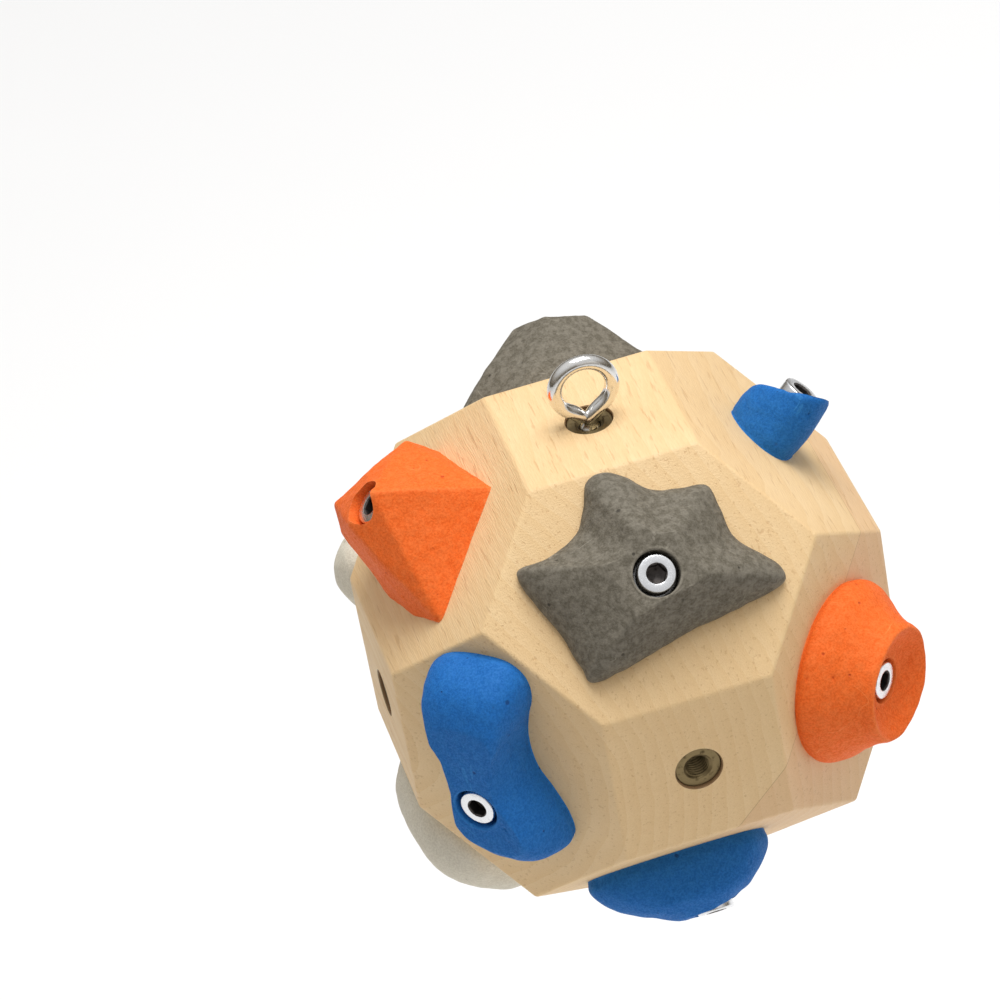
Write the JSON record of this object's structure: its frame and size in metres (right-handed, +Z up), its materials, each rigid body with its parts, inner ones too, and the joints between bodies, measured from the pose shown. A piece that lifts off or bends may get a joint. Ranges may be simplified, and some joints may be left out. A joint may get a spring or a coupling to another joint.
{
  "type": "hanging bouldering ball",
  "caption": "Chamfered-cube wooden ball with threaded inserts, bolt-on climbing holds for finger training, and a screw eye to hang it from.",
  "frame": {"origin": "centre of the screw eye ring, from which the ball hangs", "axes": "+Z up along the screw eye shank; -Y towards the front square face; +X to its right"},
  "size_m": [0.1818, 0.1795, 0.201],
  "materials": {
    "beech": "satin, lightly oiled, fine short grain",
    "grey_cast": "rough sand-textured cast resin",
    "orange_cast": "rough sand-textured cast resin",
    "red_cast": "rough sand-textured cast resin",
    "blue_cast": "rough sand-textured cast resin",
    "cream_cast": "rough sand-textured cast resin",
    "zinc": "bright zinc plate",
    "insert_brass": "dull, slightly darkened",
    "eye_nickel": "bright nickel plate"
  },
  "bodies": {
    "ball": {"wood_ball": "beech", "screw_eye": "eye_nickel", "hexagon_inserts": "insert_brass", "top_insert": "insert_brass", "front_insert": "insert_brass", "right_insert": "insert_brass", "back_insert": "insert_brass", "left_insert": "insert_brass", "bottom_insert": "insert_brass"},
    "star_washer": {"star_washer": "zinc"},
    "star_bolt": {"star_bolt": "zinc"},
    "star_hold": {"star_hold": "grey_cast"},
    "wedge_washer": {"wedge_washer": "zinc"},
    "wedge_bolt": {"wedge_bolt": "zinc"},
    "wedge_hold": {"wedge_hold": "orange_cast"},
    "long_washer": {"long_washer": "zinc"},
    "long_bolt": {"long_bolt": "zinc"},
    "long_hold": {"long_hold": "blue_cast"},
    "knob_washer": {"knob_washer": "zinc"},
    "knob_bolt": {"knob_bolt": "zinc"},
    "knob_hold": {"knob_hold": "blue_cast"},
    "dish_washer": {"dish_washer": "zinc"},
    "dish_bolt": {"dish_bolt": "zinc"},
    "dish_hold": {"dish_hold": "orange_cast"},
    "ridge_washer": {"ridge_washer": "zinc"},
    "ridge_bolt": {"ridge_bolt": "zinc"},
    "ridge_hold": {"ridge_hold": "blue_cast"},
    "crag_washer": {"crag_washer": "zinc"},
    "crag_bolt": {"crag_bolt": "zinc"},
    "crag_hold": {"crag_hold": "grey_cast"},
    "slab_washer": {"slab_washer": "zinc"},
    "slab_bolt": {"slab_bolt": "zinc"},
    "slab_hold": {"slab_hold": "cream_cast"},
    "pebble_washer": {"pebble_washer": "zinc"},
    "pebble_bolt": {"pebble_bolt": "zinc"},
    "pebble_hold": {"pebble_hold": "cream_cast"},
    "shell_washer": {"shell_washer": "zinc"},
    "shell_bolt": {"shell_bolt": "zinc"},
    "shell_hold": {"shell_hold": "grey_cast"},
    "boomerang_washer": {"boomerang_washer": "zinc"},
    "boomerang_bolt": {"boomerang_bolt": "zinc"},
    "boomerang_hold": {"boomerang_hold": "blue_cast"},
    "crust_washer": {"crust_washer": "zinc"},
    "crust_bolt": {"crust_bolt": "zinc"},
    "crust_hold": {"crust_hold": "red_cast"}
  },
  "joints": [
    {"name": "star_travel", "type": "slide", "parent": "ball", "child": "star_washer", "axis": [0, -0.7071, 0.7071], "range_m": [0, 0.01125]},
    {"name": "star_unscrew", "type": "hinge", "parent": "star_washer", "child": "star_bolt", "pos_m": [0, -0.0585, -0.0424], "axis": [0, -0.7071, 0.7071], "range_deg": [0, 3240]},
    {"name": "star_turn", "type": "hinge", "parent": "star_washer", "child": "star_hold", "pos_m": [0, -0.0585, -0.0424], "axis": [0, -0.7071, 0.7071], "continuous": true},
    {"name": "wedge_travel", "type": "slide", "parent": "ball", "child": "wedge_washer", "axis": [-0.7071, 0, 0.7071], "range_m": [0, 0.01125]},
    {"name": "wedge_unscrew", "type": "hinge", "parent": "wedge_washer", "child": "wedge_bolt", "pos_m": [-0.0585, 0, -0.0424], "axis": [-0.7071, 0, 0.7071], "range_deg": [0, 3240]},
    {"name": "wedge_turn", "type": "hinge", "parent": "wedge_washer", "child": "wedge_hold", "pos_m": [-0.0585, 0, -0.0424], "axis": [-0.7071, 0, 0.7071], "continuous": true},
    {"name": "long_travel", "type": "slide", "parent": "ball", "child": "long_washer", "axis": [-0.7071, -0.7071, 0], "range_m": [0, 0.01125]},
    {"name": "long_unscrew", "type": "hinge", "parent": "long_washer", "child": "long_bolt", "pos_m": [-0.0585, -0.0585, -0.1009], "axis": [-0.7071, -0.7071, 0], "range_deg": [0, 3240]},
    {"name": "long_turn", "type": "hinge", "parent": "long_washer", "child": "long_hold", "pos_m": [-0.0585, -0.0585, -0.1009], "axis": [-0.7071, -0.7071, 0], "continuous": true},
    {"name": "knob_travel", "type": "slide", "parent": "ball", "child": "knob_washer", "axis": [0.7071, 0, 0.7071], "range_m": [0, 0.01125]},
    {"name": "knob_unscrew", "type": "hinge", "parent": "knob_washer", "child": "knob_bolt", "pos_m": [0.0585, 0, -0.0424], "axis": [0.7071, 0, 0.7071], "range_deg": [0, 3240]},
    {"name": "knob_turn", "type": "hinge", "parent": "knob_washer", "child": "knob_hold", "pos_m": [0.0585, 0, -0.0424], "axis": [0.7071, 0, 0.7071], "continuous": true},
    {"name": "dish_travel", "type": "slide", "parent": "ball", "child": "dish_washer", "axis": [0.7071, -0.7071, 0], "range_m": [0, 0.01125]},
    {"name": "dish_unscrew", "type": "hinge", "parent": "dish_washer", "child": "dish_bolt", "pos_m": [0.0585, -0.0585, -0.1009], "axis": [0.7071, -0.7071, 0], "range_deg": [0, 3240]},
    {"name": "dish_turn", "type": "hinge", "parent": "dish_washer", "child": "dish_hold", "pos_m": [0.0585, -0.0585, -0.1009], "axis": [0.7071, -0.7071, 0], "continuous": true},
    {"name": "ridge_travel", "type": "slide", "parent": "ball", "child": "ridge_washer", "axis": [0, -0.7071, -0.7071], "range_m": [0, 0.01125]},
    {"name": "ridge_unscrew", "type": "hinge", "parent": "ridge_washer", "child": "ridge_bolt", "pos_m": [0, -0.0585, -0.1594], "axis": [0, -0.7071, -0.7071], "range_deg": [0, 3240]},
    {"name": "ridge_turn", "type": "hinge", "parent": "ridge_washer", "child": "ridge_hold", "pos_m": [0, -0.0585, -0.1594], "axis": [0, -0.7071, -0.7071], "continuous": true},
    {"name": "crag_travel", "type": "slide", "parent": "ball", "child": "crag_washer", "axis": [0, 0.7071, 0.7071], "range_m": [0, 0.01125]},
    {"name": "crag_unscrew", "type": "hinge", "parent": "crag_washer", "child": "crag_bolt", "pos_m": [0, 0.0585, -0.0424], "axis": [0, 0.7071, 0.7071], "range_deg": [0, 3240]},
    {"name": "crag_turn", "type": "hinge", "parent": "crag_washer", "child": "crag_hold", "pos_m": [0, 0.0585, -0.0424], "axis": [0, 0.7071, 0.7071], "continuous": true},
    {"name": "slab_travel", "type": "slide", "parent": "ball", "child": "slab_washer", "axis": [-0.7071, 0.7071, 0], "range_m": [0, 0.01125]},
    {"name": "slab_unscrew", "type": "hinge", "parent": "slab_washer", "child": "slab_bolt", "pos_m": [-0.0585, 0.0585, -0.1009], "axis": [-0.7071, 0.7071, 0], "range_deg": [0, 3240]},
    {"name": "slab_turn", "type": "hinge", "parent": "slab_washer", "child": "slab_hold", "pos_m": [-0.0585, 0.0585, -0.1009], "axis": [-0.7071, 0.7071, 0], "continuous": true},
    {"name": "pebble_travel", "type": "slide", "parent": "ball", "child": "pebble_washer", "axis": [-0.7071, 0, -0.7071], "range_m": [0, 0.01125]},
    {"name": "pebble_unscrew", "type": "hinge", "parent": "pebble_washer", "child": "pebble_bolt", "pos_m": [-0.0585, 0, -0.1594], "axis": [-0.7071, 0, -0.7071], "range_deg": [0, 3240]},
    {"name": "pebble_turn", "type": "hinge", "parent": "pebble_washer", "child": "pebble_hold", "pos_m": [-0.0585, 0, -0.1594], "axis": [-0.7071, 0, -0.7071], "continuous": true},
    {"name": "shell_travel", "type": "slide", "parent": "ball", "child": "shell_washer", "axis": [0.7071, 0.7071, 0], "range_m": [0, 0.01125]},
    {"name": "shell_unscrew", "type": "hinge", "parent": "shell_washer", "child": "shell_bolt", "pos_m": [0.0585, 0.0585, -0.1009], "axis": [0.7071, 0.7071, 0], "range_deg": [0, 3240]},
    {"name": "shell_turn", "type": "hinge", "parent": "shell_washer", "child": "shell_hold", "pos_m": [0.0585, 0.0585, -0.1009], "axis": [0.7071, 0.7071, 0], "continuous": true},
    {"name": "boomerang_travel", "type": "slide", "parent": "ball", "child": "boomerang_washer", "axis": [0.7071, 0, -0.7071], "range_m": [0, 0.01125]},
    {"name": "boomerang_unscrew", "type": "hinge", "parent": "boomerang_washer", "child": "boomerang_bolt", "pos_m": [0.0585, 0, -0.1594], "axis": [0.7071, 0, -0.7071], "range_deg": [0, 3240]},
    {"name": "boomerang_turn", "type": "hinge", "parent": "boomerang_washer", "child": "boomerang_hold", "pos_m": [0.0585, 0, -0.1594], "axis": [0.7071, 0, -0.7071], "continuous": true},
    {"name": "crust_travel", "type": "slide", "parent": "ball", "child": "crust_washer", "axis": [0, 0.7071, -0.7071], "range_m": [0, 0.01125]},
    {"name": "crust_unscrew", "type": "hinge", "parent": "crust_washer", "child": "crust_bolt", "pos_m": [0, 0.0585, -0.1594], "axis": [0, 0.7071, -0.7071], "range_deg": [0, 3240]},
    {"name": "crust_turn", "type": "hinge", "parent": "crust_washer", "child": "crust_hold", "pos_m": [0, 0.0585, -0.1594], "axis": [0, 0.7071, -0.7071], "continuous": true}
  ],
  "couplings": [
    {"joint": "star_unscrew", "follows": "star_travel", "rad_per_m": 5026.5},
    {"joint": "wedge_unscrew", "follows": "wedge_travel", "rad_per_m": 5026.5},
    {"joint": "long_unscrew", "follows": "long_travel", "rad_per_m": 5026.5},
    {"joint": "knob_unscrew", "follows": "knob_travel", "rad_per_m": 5026.5},
    {"joint": "dish_unscrew", "follows": "dish_travel", "rad_per_m": 5026.5},
    {"joint": "ridge_unscrew", "follows": "ridge_travel", "rad_per_m": 5026.5},
    {"joint": "crag_unscrew", "follows": "crag_travel", "rad_per_m": 5026.5},
    {"joint": "slab_unscrew", "follows": "slab_travel", "rad_per_m": 5026.5},
    {"joint": "pebble_unscrew", "follows": "pebble_travel", "rad_per_m": 5026.5},
    {"joint": "shell_unscrew", "follows": "shell_travel", "rad_per_m": 5026.5},
    {"joint": "boomerang_unscrew", "follows": "boomerang_travel", "rad_per_m": 5026.5},
    {"joint": "crust_unscrew", "follows": "crust_travel", "rad_per_m": 5026.5}
  ]
}
